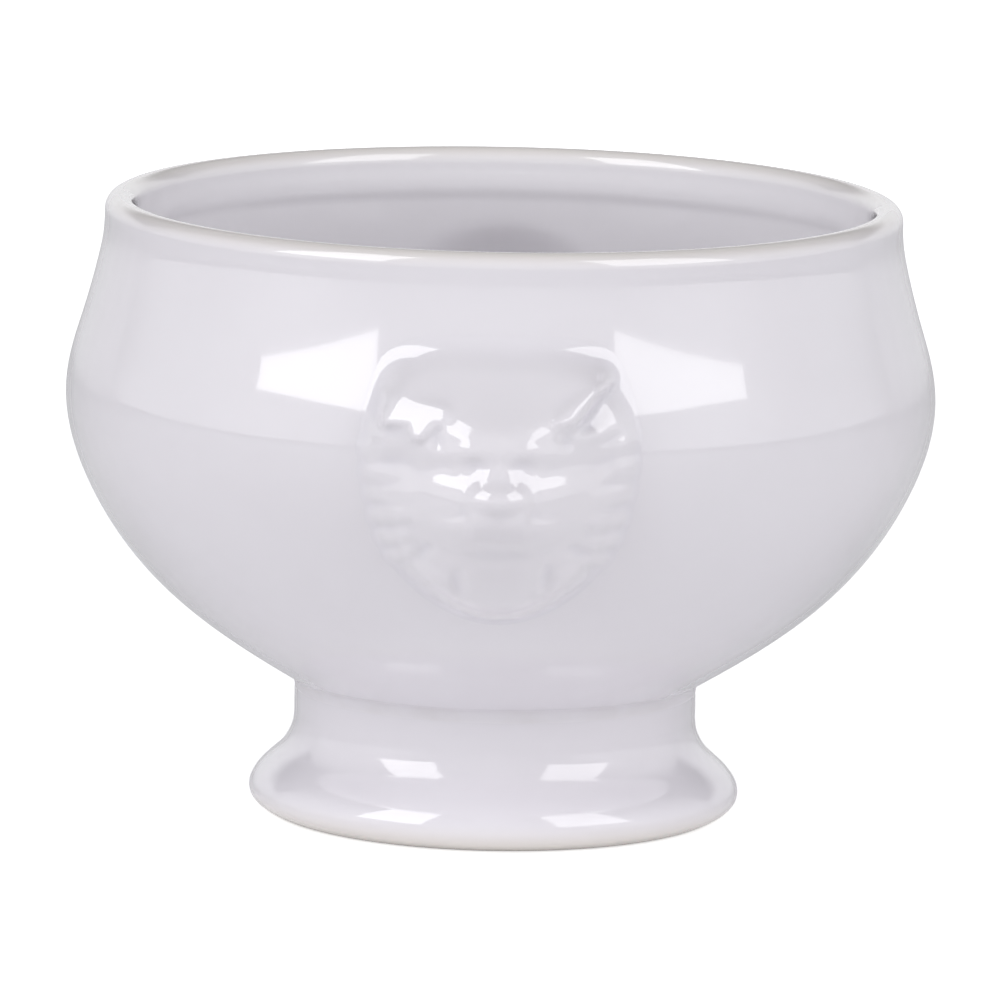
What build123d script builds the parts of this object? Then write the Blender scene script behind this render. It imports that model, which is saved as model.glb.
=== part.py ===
"""Footed soup crock of glazed white porcelain with a lion head on its front and its back.

Millimetres, +Z up. The origin is the centre of the foot's bearing ring, on the table.
The front head looks along -Y. Five pieces are stuck up by the potter before firing:
bowl, pedestal foot, the ring of slip that bonds them, and two sprigged lion heads.
"""

import math
import os

from build123d import *

# Bowl: radius of each station of the outside, and its height over the table
rim_height = 95.2
rim_radius = 61.0
belly_height = 65.2
belly_radius = 66.7
neck_height = 20.6
neck_radius = 30.9
neck_slope = 31.0
wall = 4.6
floor_thickness = 6.0
inside_shares = (0.92, 0.82, 0.72, 0.6, 0.45, 0.28, 0.14)

# Stations between those, as shares of the way out and of the way up
waist_share = (0.617, 0.359)
hip_share = (0.899, 0.682)
shoulder_share = (0.474, 0.455)
throat_share = (0.895, 0.751)

# Pedestal foot: a hollow flared ring under the neck
foot_radius = 37.9
foot_wall = 5.5
stem_share = 0.76
flare_share = (0.4, 0.466)
edge_share = 0.18
bearing_inset = 3.3
bearing_slope = 0.35
bearing_width = 4.8
hollow_share = 0.45
hollow_flare = 0.5

# Ring of slip between the bowl's flat base and the foot's flat top
slip_thickness = 0.6

# Swelling of the wall under each head, and the hollow behind it on the inside
head_drop = 4.2
swelling_radius = 22.5
swelling_rise = 5.5
hollow_radius = 21.0
hollow_fillet = 3.0

# Outline of a head, across and up from its centre, with lobes where the mane ends
crown_top = 22.0
crown_side = (10.0, 21.5)
crown_corner = (16.4, 19.0)
temple = (20.2, 7.0)
cheek_edge = (18.9, -5.0)
jaw_edge = (13.6, -14.9)
beard_side = (7.4, -19.8)
beard_tip = 21.9
side_lobes = 13
lobe_depth = 0.8

# Middle of the face from the beard up to the crown: up from the centre, and rise over the wall
face_middle = (
    (-25.0, 1.2),
    (-21.6, 4.4),
    (-14.5, 8.0),
    (-9.2, 9.1),
    (-3.5, 10.6),
    (1.5, 9.3),
    (4.0, 8.3),
    (8.0, 8.4),
    (12.0, 6.3),
    (18.0, 2.3),
    (22.0, 0.4),
    (25.2, 0.2),
)

# How fast the face falls away to its sides, and where the crown's sides drop to the wall
face_bend = ((-25.0, 0.05), (-9.0, 0.045), (1.0, 0.03), (8.0, 0.028), (12.0, 0.012), (25.2, 0.0))
crown_half_width = ((6.0, 12.5), (14.0, 15.6), (20.0, 18.0))
crown_drop = 4.5
crown_start = 8.0
crown_fade = 4.0
edge_thickness = 0.5
mane_thickness = 1.3

# Forms of the face: across, up, half width, half height, rise. Off-centre ones come in pairs
forelock = (13.6, 10.4, 5.6, 3.8, 1.5)
brow = (5.4, 6.4, 6.2, 2.0, 0.7)
bridge = (0, 3.4, 2.4, 4.6, 0.9)
nose = (0, -0.2, 4.9, 3.4, 1.6)
muzzle = (4.9, -5.2, 5.6, 3.8, 1.1)
tuft = (10.4, -14.6, 5.8, 3.6, 1.7)
eye = (5.2, 4.2, 2.4, 1.4, 0.7)
raised_forms = (forelock, brow, bridge, nose, muzzle, tuft)
socket = (5.6, 4.4, 4.2, 2.2, 1.0)
mouth = (0, -9.2, 5.8, 1.9, 1.2)
jowl = (6.2, -13.8, 1.5, 3.4, 1.0)
sunk_forms = (socket, mouth, jowl)

# Locks of the mane on each side, from the temple down
lock_count = 6
lock_root = 11.8
lock_top = 5.2
lock_pitch = 2.95
lock_fan = 0.75
lock_half_width = 1.7
lock_rise = 1.2

# Spacing of the points that carry the lines and the relief, and how softly forms run together
line_steps = 200
relief_pitch = 1.2
relief_margin = 3.0
swelling_blend = 1.6
form_sharpness = 4.0
form_roundness = 1.4

os.makedirs("parts", exist_ok=True)

# Outside of the bowl's wall, from the neck up to where the lip begins to round over
lip_radius = wall / 2
lip_height = rim_height - lip_radius
neck = (neck_radius, neck_height)
belly = (belly_radius, belly_height)
rim = (rim_radius, lip_height)


def between(low, high, share):
    """Point that lies the given shares of the way out and up from one point to another."""
    return tuple(start + part * (end - start) for start, end, part in zip(low, high, share))


def outside_line():
    """Outside of the wall, from the neck up to where the lip begins to round over."""
    return Spline(
        neck,
        between(neck, belly, waist_share),
        between(neck, belly, hip_share),
        belly,
        between(belly, rim, shoulder_share),
        between(belly, rim, throat_share),
        rim,
        tangents=((1, math.tan(math.radians(neck_slope))), (0, 1)),
    )


def line_inside(outside, depth):
    """Line that runs at a depth inside the wall, from under the lip down to the axis."""
    stations = []
    for share in inside_shares:
        along = outside % share
        stations.append(outside @ share + Vector(-along.Y, along.X) * depth)
    bottom = neck_height + floor_thickness * depth / wall
    return Spline((rim_radius - depth, lip_height), *stations, (0, bottom), tangents=((0, -1), (-1, 0)))


with BuildPart() as outer_form:
    with BuildSketch(Plane.XZ):
        with BuildLine():
            outside = outside_line()
            Polyline(rim, (0, lip_height), (0, neck_height), neck)
        make_face()
    revolve(axis=Axis.Z)


def sampled(line):
    """Points along a line, in even steps from its start to its end."""
    return [line @ (step / line_steps) for step in range(line_steps + 1)]


def value_at(place, stations):
    """Value at a place, read between stations that each hold a place and a value."""
    if place <= stations[0][0]:
        return stations[0][1]
    for (low, start), (high, end) in zip(stations, stations[1:]):
        if place <= high:
            return start + (end - start) * (place - low) / (high - low)
    return stations[-1][1]


wall_stations = [(point.Y, point.X) for point in sampled(outside)]


def wall_radius(height):
    """Outer radius of the wall at a height between the neck and the lip."""
    return value_at(height, wall_stations)


# Swellings of the wall, where the heads go, rooted in the middle of its thickness
head_height = belly_height - head_drop
swelling_front = wall_radius(head_height) + swelling_rise
swelling_offset = swelling_front - swelling_radius
hollow_offset = swelling_front - wall - hollow_radius

with BuildPart() as swellings:
    with Locations((0, -swelling_offset, head_height), (0, swelling_offset, head_height)):
        Sphere(swelling_radius)
    with BuildSketch(Plane.XZ):
        with BuildLine():
            middle = line_inside(outside, wall / 2)
            Polyline(middle @ 1, (0, lip_height), middle @ 0)
        make_face()
    revolve(axis=Axis.Z, mode=Mode.SUBTRACT)

# Bowl: turned wall with a rounded lip, the swellings, and the hollows behind them
with BuildPart() as bowl:
    with BuildSketch(Plane.XZ):
        with BuildLine():
            outside_line()
            CenterArc((rim_radius - lip_radius, lip_height), lip_radius, 0, 90)
            CenterArc((rim_radius - lip_radius, lip_height), lip_radius, 90, 90)
            inside = line_inside(outside, wall)
            Polyline(inside @ 1, (0, neck_height), neck)
        make_face()
    revolve(axis=Axis.Z)
    add(swellings.part)
    with Locations((0, -hollow_offset, head_height), (0, hollow_offset, head_height)):
        Sphere(hollow_radius, mode=Mode.SUBTRACT)
    fillet(bowl.edges(Select.LAST), radius=hollow_fillet)
bowl.part.label = "bowl"

# Pedestal foot and the slip that bonds it
foot_top = neck_height - slip_thickness
bore_radius = neck_radius - foot_wall
stem = (neck_radius, stem_share * foot_top)
foot_edge = (foot_radius, edge_share * foot_top)
bearing_outer = (foot_radius - bearing_inset, 0)
bearing_inner = (foot_radius - bearing_inset - bearing_width, 0)
bore_start = (bore_radius, hollow_share * foot_top)

with BuildPart() as pedestal_foot:
    with BuildSketch(Plane.XZ):
        with BuildLine():
            Spline(
                stem,
                between(stem, foot_edge, flare_share),
                foot_edge,
                bearing_outer,
                tangents=((0, -1), (-1, -bearing_slope)),
            )
            Line(bearing_outer, bearing_inner)
            Spline(bearing_inner, bore_start, tangents=((-hollow_flare, 1), (0, 1)))
            Polyline(bore_start, (bore_radius, foot_top), (neck_radius, foot_top), stem)
        make_face()
    revolve(axis=Axis.Z)
pedestal_foot.part.label = "pedestal_foot"

with BuildPart() as foot_slip_ring:
    with BuildSketch(Plane.XY.offset(foot_top)):
        Circle(neck_radius)
        Circle(bore_radius, mode=Mode.SUBTRACT)
    extrude(amount=slip_thickness)
foot_slip_ring.part.label = "foot_slip_ring"


# Relief of a head, as the distance of its face from the crock's axis
with BuildLine(mode=Mode.PRIVATE):
    ridge = Spline(*face_middle)

ridge_stations = [(point.X, point.Y) for point in sampled(ridge)]


def eased(share):
    """Zero below 0, one above 1, and an S-shaped rise between."""
    share = min(1.0, max(0.0, share))
    return share * share * (3 - 2 * share)


def blended(first, second):
    """The larger of two heights, with the crease between them filled."""
    return (first + second + math.hypot(first - second, swelling_blend)) / 2


def form_height(form, across, up):
    """Height of a rounded form at a point of the face; an off-centre form counts on both sides."""
    centre_across, centre_up, half_width, half_height, rise = form
    reach = ((abs(across) - centre_across) / half_width) ** 2 + ((up - centre_up) / half_height) ** 2
    return rise * max(0.0, 1 - reach) ** form_roundness


def lock_height(index, across, up):
    """Height of one lock of the mane, a ridge that runs out from the face and fans down."""
    run = min(1.0, max(0.0, (abs(across) - lock_root) / (temple[0] - lock_root)))
    middle = lock_top - index * lock_pitch - run * lock_fan * (index - 1)
    beyond = max(0.0, lock_root - abs(across)) / lock_half_width
    reach = ((up - middle) / lock_half_width) ** 2 + beyond**2
    return lock_rise * max(0.0, 1 - reach)


def relief(across, up):
    """Distance of the head's face from the axis, at a point across and up from its centre."""
    radius = wall_radius(head_height + up)
    base = math.sqrt(max(0.0, radius**2 - across**2))
    swelling = swelling_offset + math.sqrt(max(0.0, swelling_radius**2 - across**2 - up**2))
    face = value_at(up, ridge_stations) - value_at(up, face_bend) * across**2
    beside = eased((abs(across) - value_at(up, crown_half_width)) / crown_drop + 0.5)
    crowned = eased((up - crown_start) / crown_fade)
    mane = swelling - base + mane_thickness * (1 - crowned)
    body = blended(blended(face * (1 - beside * crowned), mane), edge_thickness)
    heights = [form_height(form, across, up) for form in raised_forms]
    heights += [lock_height(index, across, up) for index in range(lock_count)]
    raised = sum(height**form_sharpness for height in heights) ** (1 / form_sharpness)
    sunk = max(form_height(form, across, up) for form in sunk_forms)
    return base + body + raised - sunk + form_height(eye, across, up)


def stepped(low, high):
    """Evenly spaced places from one limit to the other, about one relief pitch apart."""
    count = round((high - low) / relief_pitch)
    return [low + (high - low) * index / count for index in range(count + 1)]


# Outline of a head: lobes along a smooth guide, flat where the crown runs into the wall
with BuildLine(mode=Mode.PRIVATE):
    guide = Spline(
        (0, crown_top),
        crown_side,
        crown_corner,
        temple,
        cheek_edge,
        jaw_edge,
        beard_side,
        (0, -beard_tip),
    )

side_reach = temple[0] + relief_margin
head_plane = Plane((0, -swelling_offset, head_height), (1, 0, 0), (0, -1, 0))

with BuildPart() as front_lion_head:
    for up in stepped(-beard_tip - relief_margin, crown_top + relief_margin):
        with BuildSketch(Plane.XY.offset(head_height + up)):
            with BuildLine():
                places = stepped(-side_reach, side_reach)
                face = Spline(*[(across, -relief(across, up)) for across in places])
                Polyline(face @ 1, (side_reach, -swelling_offset), (-side_reach, -swelling_offset), face @ 0)
            make_face()
    loft()
    with BuildSketch(head_plane):
        with BuildLine():
            for index in range(side_lobes):
                middle = (index + 0.5) / side_lobes
                crest = guide @ middle
                if crest.Y < temple[1]:
                    crest += Vector(-(guide % middle).Y, (guide % middle).X) * lobe_depth
                ThreePointArc(guide @ (index / side_lobes), crest, guide @ ((index + 1) / side_lobes))
            mirror(about=Plane.YZ)
        make_face()
    extrude(amount=swelling_front, mode=Mode.INTERSECT)
    with Locations((0, -swelling_offset, head_height)):
        Sphere(swelling_radius, mode=Mode.SUBTRACT)
    add(outer_form.part, mode=Mode.SUBTRACT)
front_lion_head.part.label = "front_lion_head"

with BuildPart() as rear_lion_head:
    add(front_lion_head.part, rotation=(0, 0, 180))
rear_lion_head.part.label = "rear_lion_head"

for piece in (bowl, pedestal_foot, foot_slip_ring, front_lion_head, rear_lion_head):
    export_step(piece.part, f"parts/{piece.part.label}.step")
    print(piece.part.label, piece.part.is_valid, len(piece.part.solids()), round(piece.part.volume))
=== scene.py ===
"""Dressed model of a footed white porcelain soup crock with lion heads in relief.

Sizes are in millimetres and are turned into metres where a mesh gets its places. The frame is
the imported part's: origin under the foot, +Z up, and the front head looks along -Y.
"""

import logging
import math
from dataclasses import dataclass
from enum import Enum

import bpy
import numpy as np
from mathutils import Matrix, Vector


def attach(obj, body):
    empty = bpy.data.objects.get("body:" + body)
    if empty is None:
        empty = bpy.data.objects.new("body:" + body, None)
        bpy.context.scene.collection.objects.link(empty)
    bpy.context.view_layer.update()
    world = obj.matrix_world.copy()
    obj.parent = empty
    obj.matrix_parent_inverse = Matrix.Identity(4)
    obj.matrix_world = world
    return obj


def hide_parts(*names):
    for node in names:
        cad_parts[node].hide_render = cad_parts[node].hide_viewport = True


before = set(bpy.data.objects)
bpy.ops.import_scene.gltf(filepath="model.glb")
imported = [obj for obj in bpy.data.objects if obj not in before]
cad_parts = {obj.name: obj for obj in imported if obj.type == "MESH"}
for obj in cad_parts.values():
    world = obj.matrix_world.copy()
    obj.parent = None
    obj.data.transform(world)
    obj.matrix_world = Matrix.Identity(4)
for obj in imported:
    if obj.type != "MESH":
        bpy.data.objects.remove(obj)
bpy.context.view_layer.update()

MM = 0.001
SEED_SIZE = 0.01
MERGE_DISTANCE = 0.002
THROWN_EDGE = 50.0
SPRIG_EDGE = 70.0
PAPER_EDGE = 40.0
CLOUD_RANGE = (0.35, 0.65)
SPECK_SIZE = (0.035, 0.02)
SPECK_CHOICE = (0.985, 0.99)
log = logging.getLogger("crock")

Point = tuple[float, float]
Colour = tuple[float, float, float, float]
Array = np.ndarray
Piece = bpy.types.Object
Socket = bpy.types.NodeSocket
Node = bpy.types.Node
Tree = bpy.types.NodeTree
Material = bpy.types.Material


class Side(Enum):
    """The side of the crock that a head looks out of, as the sign of Y."""

    FRONT = -1
    REAR = 1


def smooth_line(points: list[Point], start: Point, end: Point, count: int) -> Array:
    """Samples a smooth curve through points.

    Args:
        points: Places that the curve passes through, in order.
        start: Direction of the curve at its first point.
        end: Direction of the curve at its last point.
        count: How many samples to take, evenly spread along the chords.

    Returns:
        Array of count by 2 places.
    """
    knots = np.array(points, float)
    steps = np.diff(knots, axis=0)
    chords = np.linalg.norm(steps, axis=1)
    at = np.concatenate([[0.0], np.cumsum(chords)])
    size = len(knots)
    matrix = np.zeros((size, size))
    right = np.zeros((size, 2))
    matrix[0, 0] = matrix[-1, -1] = 1.0
    right[0] = np.array(start) / np.linalg.norm(start)
    right[-1] = np.array(end) / np.linalg.norm(end)
    for i in range(1, size - 1):
        before, after = chords[i - 1], chords[i]
        matrix[i, i - 1 : i + 2] = after, 2 * (before + after), before
        right[i] = 3 * (after * steps[i - 1] / before + before * steps[i] / after)
    slopes = np.linalg.solve(matrix, right)
    places = np.linspace(0, at[-1], count)
    index = np.clip(np.searchsorted(at, places, side="right") - 1, 0, size - 2)
    length = chords[index][:, None]
    share = ((places - at[index]) / chords[index])[:, None]
    return (
        (1 + 2 * share) * (1 - share) ** 2 * knots[index]
        + share * (1 - share) ** 2 * length * slopes[index]
        + share**2 * (3 - 2 * share) * knots[index + 1]
        + share**2 * (share - 1) * length * slopes[index + 1]
    )


def soft_step(value: Array) -> Array:
    """Zero below 0, one above 1, and an S-shaped rise between."""
    share = np.clip(value, 0.0, 1.0)
    return share * share * (3 - 2 * share)


def soft_max(first: Array, second: Array, blend: float) -> Array:
    """The larger of two heights, with the crease between them filled by a fillet."""
    near = np.clip(1 - np.abs(first - second) / blend, 0, None)
    return np.maximum(first, second) + near**3 * blend / 6


def deselect_all() -> None:
    """Leaves edit mode and deselects every object."""
    if bpy.context.mode != "OBJECT":
        bpy.ops.object.mode_set(mode="OBJECT")
    bpy.ops.object.select_all(action="DESELECT")


def spun(name: str, outline: Array, steps: int, closed: bool) -> Piece:
    """Throws a piece on the wheel: an outline traced by extruding a point, then spun about Z.

    Args:
        name: Name of the new object.
        outline: Radius and height of each point, in millimetres.
        steps: How many steps make the full turn.
        closed: Whether the outline runs back to its first point.

    Returns:
        The new object, at the origin, with its doubles merged and its faces outwards.
    """
    deselect_all()
    places = [Vector((radius * MM, 0.0, height * MM)) for radius, height in outline]
    if closed:
        places.append(places[0])
    bpy.ops.mesh.primitive_plane_add(size=SEED_SIZE, location=places[0])
    piece = bpy.context.object
    piece.name = piece.data.name = name
    bpy.ops.object.transform_apply(location=True, rotation=True, scale=True)
    bpy.ops.object.mode_set(mode="EDIT")
    bpy.ops.mesh.select_all(action="SELECT")
    bpy.ops.mesh.merge(type="CENTER")
    for here, there in zip(places, places[1:]):
        bpy.ops.mesh.extrude_region_move(TRANSFORM_OT_translate={"value": there - here})
    bpy.ops.mesh.select_all(action="SELECT")
    bpy.ops.mesh.spin(steps=steps, angle=math.tau, center=(0, 0, 0), axis=(0, 0, 1))
    bpy.ops.mesh.select_all(action="SELECT")
    bpy.ops.mesh.remove_doubles(threshold=MERGE_DISTANCE * MM)
    bpy.ops.mesh.normals_make_consistent(inside=False)
    bpy.ops.object.mode_set(mode="OBJECT")
    return piece


def shade(piece: Piece, angle: float) -> None:
    """Shades a piece smooth.

    Args:
        piece: The piece.
        angle: Edges sharper than this stay sharp, in degrees.
    """
    deselect_all()
    piece.select_set(True)
    bpy.context.view_layer.objects.active = piece
    bpy.ops.object.shade_smooth_by_angle(angle=math.radians(angle))


def vertex_places(piece: Piece) -> Array:
    """Reads where a piece's vertices are.

    Args:
        piece: The piece.

    Returns:
        Array of vertices by 3, in millimetres.
    """
    flat = np.empty(len(piece.data.vertices) * 3)
    piece.data.vertices.foreach_get("co", flat)
    return flat.reshape(-1, 3) / MM


def move_vertices(piece: Piece, places: Array) -> None:
    """Puts a piece's vertices at places given in millimetres."""
    piece.data.vertices.foreach_set("co", (places * MM).ravel())
    piece.data.update()


@dataclass
class Bowl:
    """Turned bowl with a rounded lip, a full belly and a swelling of the wall under each head."""

    rim_height: float = 95.2
    rim_radius: float = 61.1
    belly_height: float = 65.2
    belly_radius: float = 66.7
    neck_height: float = 20.6
    neck_radius: float = 30.9
    neck_slope: float = 31.0
    wall: float = 4.6
    floor_thickness: float = 6.0
    waist_share: Point = (0.617, 0.359)
    hip_share: Point = (0.899, 0.682)
    shoulder: tuple[Point, ...] = (
        (65.84, 71.3), (64.47, 76.0), (63.2, 80.4), (61.93, 85.5), (61.22, 89.5),
    )
    base_share: float = 0.8
    inside_shares: tuple[float, ...] = (0.92, 0.82, 0.72, 0.6, 0.45, 0.28, 0.16)
    floor_edge: Point = (24.0, 0.1)
    inside_light_start: float = 1.0
    head_drop: float = 4.2
    swelling_radius: float = 20.5
    swelling_rise: float = 5.5
    swelling_blend: float = 1.6
    swelling_reach: float = 34.0
    swelling_depth: float = 30.0
    swelling_fade: Point = (20.0, 12.0)
    hollow_radius: float = 23.6
    hollow_lift: float = 2.0
    hollow_blend: float = 3.2
    ridge_height: float = 88.8
    ridge_rise: float = 0.4
    ridge_fall: float = 2.0
    ridge_reach: float = 4.0
    ridge_stride: int = 3
    inside_stride: int = 8
    wheel_steps: int = 300
    line_steps: int = 84
    lip_steps: int = 16

    def __post_init__(self) -> None:
        """Works out the lines of the wall and the places of the swellings."""
        self.lip_radius = self.wall / 2
        self.lip_height = self.rim_height - self.lip_radius
        self.head_height = self.belly_height - self.head_drop
        self.outside = self.outside_line()
        self.inside = self.inside_line()
        front = self.outer_radius(np.array(self.head_height)) + self.swelling_rise
        self.swelling_offset = float(front) - self.swelling_radius
        self.hollow_offset = float(front) - self.wall - self.hollow_radius

    def between(self, low: Point, high: Point, share: Point) -> Point:
        """Point that lies the given shares of the way out and up from one point to another."""
        return tuple(a + part * (b - a) for a, b, part in zip(low, high, share))

    def outside_line(self) -> Array:
        """Draws the outside of the wall.

        Returns:
            Radius and height of its points, from the neck up to where the lip begins.
        """
        neck = (self.neck_radius, self.neck_height)
        belly = (self.belly_radius, self.belly_height)
        rim = (self.rim_radius, self.lip_height)
        stations = [
            neck,
            self.between(neck, belly, self.waist_share),
            self.between(neck, belly, self.hip_share),
            belly,
            *self.shoulder,
            rim,
        ]
        slope = math.radians(self.neck_slope)
        return smooth_line(stations, (math.cos(slope), math.sin(slope)), (0, 1), self.line_steps)

    def inside_line(self) -> Array:
        """Draws the inside of the wall, with the soft ridge under the lip.

        Returns:
            Radius and height of its points, from the lip down to the middle of the floor.
        """
        along = np.gradient(self.outside, axis=0)
        along /= np.linalg.norm(along, axis=1)[:, None]
        inner = self.outside + np.stack([-along[:, 1], along[:, 0]], axis=1) * self.wall
        picked = [tuple(inner[round(share * (self.line_steps - 1))]) for share in self.inside_shares]
        floor = self.neck_height + self.floor_thickness
        edge = (self.floor_edge[0], floor + self.floor_edge[1])
        stations = [(self.rim_radius - self.wall, self.lip_height), *picked, edge, (0.0, floor)]
        fine = smooth_line(stations, (0, -1), (-1, 0), self.inside_stride * self.line_steps)
        rise = soft_step((self.lip_height - fine[:, 1]) / (self.lip_height - self.ridge_height))
        fall = soft_step((self.ridge_height - fine[:, 1]) / self.ridge_fall)
        fine[:, 0] -= self.ridge_rise * rise * (1 - fall)
        count = np.arange(len(fine))
        at_ridge = fine[:, 1] > self.ridge_height - self.ridge_reach
        kept = (count % self.inside_stride == 0) | (at_ridge & (count % self.ridge_stride == 0))
        kept[-1] = True
        return fine[kept]

    def outer_radius(self, height: Array) -> Array:
        """Outer radius of the wall at heights between the neck and the lip."""
        return np.interp(height, self.outside[:, 1], self.outside[:, 0])

    def wall_front(self, across: Array, up: Array) -> Array:
        """Distance of the plain outer wall from the axis, seen from a head's front."""
        radius = self.outer_radius(self.head_height + up)
        return np.sqrt(np.maximum(radius**2 - across**2, 0.0))

    def ball_front(self, across: Array, up: Array, radius: float, offset: float) -> Array:
        """Distance of a ball's front from the axis, and far behind the wall outside the ball."""
        rest = radius**2 - across**2 - up**2
        return np.where(rest > 0, offset + np.sqrt(np.maximum(rest, 0.0)), 0.0)

    def swollen_front(self, across: Array, up: Array) -> Array:
        """Finds the front of the outer wall, with the swelling under a head.

        Args:
            across: Distance from the head's middle, to the right.
            up: Distance over the head's centre.

        Returns:
            Distance from the axis at each point.
        """
        ball = self.ball_front(across, up, self.swelling_radius, self.swelling_offset)
        plain = self.wall_front(across, up)
        return np.where(ball > 0, soft_max(plain, ball, self.swelling_blend), plain)

    def build(self) -> Piece:
        """Throws the bowl and presses its wall out under the heads.

        Returns:
            The bowl's object.
        """
        angles = np.linspace(0, math.pi, self.lip_steps + 2)[1:-1]
        centre = self.rim_radius - self.lip_radius
        lip = np.stack([np.cos(angles), np.sin(angles)], axis=1) * self.lip_radius
        lip = lip + (centre, self.lip_height)
        base = [(0.0, self.neck_height), (self.neck_radius * self.base_share, self.neck_height)]
        outline = np.vstack([base, self.outside, lip, self.inside])
        piece = spun("bowl_dressed", outline, self.wheel_steps, False)
        self.mark_painted_inside_light(piece)
        self.press_swellings(piece)
        shade(piece, THROWN_EDGE)
        return piece

    def mark_painted_inside_light(self, piece: Piece) -> None:
        """Marks the inside of the bowl as an attribute, where the material paints the glaze lighter as
        painted light.

        Args:
            piece: The bowl, before its wall is pressed.
        """
        places = vertex_places(piece)
        middle = self.outer_radius(places[:, 2]) - self.wall / 2
        inside = soft_step((middle - np.hypot(places[:, 0], places[:, 1])) / self.wall + 0.5)
        inside = np.where(places[:, 2] > self.neck_height + self.inside_light_start, inside, 0.0)
        attribute = piece.data.attributes.new("painted_inside_light", "FLOAT", "POINT")
        attribute.data.foreach_set("value", inside.astype(np.float32))

    def press_swellings(self, piece: Piece) -> None:
        """Moves the wall's points out where a head sits, inside and outside alike.

        Args:
            piece: The bowl as it was thrown.
        """
        places = vertex_places(piece)
        radius = np.hypot(places[:, 0], places[:, 1])
        up = places[:, 2] - self.head_height
        across = places[:, 0]
        facing = np.abs(places[:, 1])
        middle = self.outer_radius(places[:, 2]) - self.wall / 2
        away = np.hypot(across, up)
        near = (away < self.swelling_reach) & (facing > self.swelling_depth)
        outer = near & (radius > middle)
        inner = near & (radius <= middle)
        hollow = self.ball_front(across, up - self.hollow_lift, self.hollow_radius, self.hollow_offset)
        start, width = self.swelling_fade
        fade = 1 - soft_step((away - start) / width)
        pressed = np.where(hollow > 0, soft_max(facing, hollow, self.hollow_blend), facing)
        swollen = self.swollen_front(across, up)
        moved = np.where(inner, facing + (pressed - facing) * fade, facing)
        moved = np.where(outer, facing + (swollen - facing) * fade, moved)
        places[:, 1] = np.sign(places[:, 1]) * moved
        move_vertices(piece, places)


@dataclass
class PedestalFoot:
    """Hollow flared foot that stands on a flat bearing ring."""

    top: float = 20.0
    neck_radius: float = 30.9
    foot_wall: float = 5.5
    stem_height: float = 15.2
    flare: tuple[Point, ...] = (
        (31.2, 12.9), (31.9, 11.2), (33.0, 9.6), (34.65, 8.05), (36.35, 6.4), (37.3, 5.0),
        (37.7, 3.6), (37.4, 2.3), (36.1, 1.05),
    )
    bearing_radius: float = 33.4
    bearing_width: float = 3.8
    bearing_lean: Point = (-1.0, -0.1)
    hollow_share: float = 0.45
    hollow_lean: Point = (-0.5, 1.0)
    hollow_steps: int = 16
    edge_drops: tuple[float, ...] = (0.15, 0.3, 0.6, 1.2, 2.4)
    wheel_steps: int = 240
    line_steps: int = 72

    def build(self) -> Piece:
        """Throws the foot.

        Returns:
            The foot's object.
        """
        stem = (self.neck_radius, self.stem_height)
        bearing = self.bearing_radius
        bore = self.neck_radius - self.foot_wall
        outside = [stem, *self.flare, (bearing, 0.0)]
        outer = smooth_line(outside, (0, -1), self.bearing_lean, self.line_steps)
        inside = [(bearing - self.bearing_width, 0.0), (bore, self.hollow_share * self.top)]
        inner = smooth_line(inside, self.hollow_lean, (0, 1), self.hollow_steps)
        round_off = [(self.neck_radius, self.top - drop) for drop in self.edge_drops]
        neck = [(bore, self.top), (self.neck_radius - self.edge_drops[0], self.top), *round_off]
        piece = spun("pedestal_foot_dressed", np.vstack([neck, outer, inner]), self.wheel_steps, True)
        shade(piece, THROWN_EDGE)
        return piece


@dataclass
class SlipRing:
    """Ring of slip between bowl and foot, wiped to a small cove in the corner where it shows."""

    low: float = 20.0
    high: float = 20.6
    outer_radius: float = 30.9
    inner_radius: float = 25.4
    slope: float = 31.0
    cove_radius: float = 2.6
    cove_start: float = 0.4
    sink: float = 0.03
    cove_steps: int = 10
    wheel_steps: int = 240

    def build(self) -> Piece:
        """Throws the ring.

        Returns:
            The ring's object.
        """
        turn = math.radians(90 - self.slope)
        drop = self.cove_radius * math.tan(turn / 2)
        centre = (self.outer_radius + self.cove_radius, self.high - drop)
        angles = np.linspace(math.pi, math.pi - turn, self.cove_steps)
        cove = np.stack([np.cos(angles), np.sin(angles)], axis=1) * self.cove_radius + centre
        within = self.outer_radius - self.sink
        start = centre[1] - self.cove_start
        lower = [(self.inner_radius, self.low), (within, self.low), (within, start)]
        upper = [(within, self.high), (self.inner_radius, self.high)]
        piece = spun("foot_slip_ring_dressed", np.vstack([lower, cove, upper]), self.wheel_steps, True)
        shade(piece, THROWN_EDGE)
        return piece


@dataclass(frozen=True)
class Form:
    """One rounded form of the face, given in millimetres from the head's centre."""

    across: float
    up: float
    half_width: float
    half_height: float
    rise: float
    tilt: float = 0.0
    roundness: float = 1.5
    paired: bool = True

    def height(self, across: Array, up: Array) -> Array:
        """Height of the form at points of the face.

        Args:
            across: Distance from the middle, to the right.
            up: Distance over the head's centre.

        Returns:
            Height at each point, zero away from the form.
        """
        total = np.zeros_like(across)
        for side in (-1, 1) if self.paired else (1,):
            turn = math.radians(self.tilt * side)
            right, rise = across - self.across * side, up - self.up
            along = (right * math.cos(turn) + rise * math.sin(turn)) / self.half_width
            over = (rise * math.cos(turn) - right * math.sin(turn)) / self.half_height
            total = np.maximum(total, np.clip(1 - along**2 - over**2, 0, None) ** self.roundness)
        return total * self.rise


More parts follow.
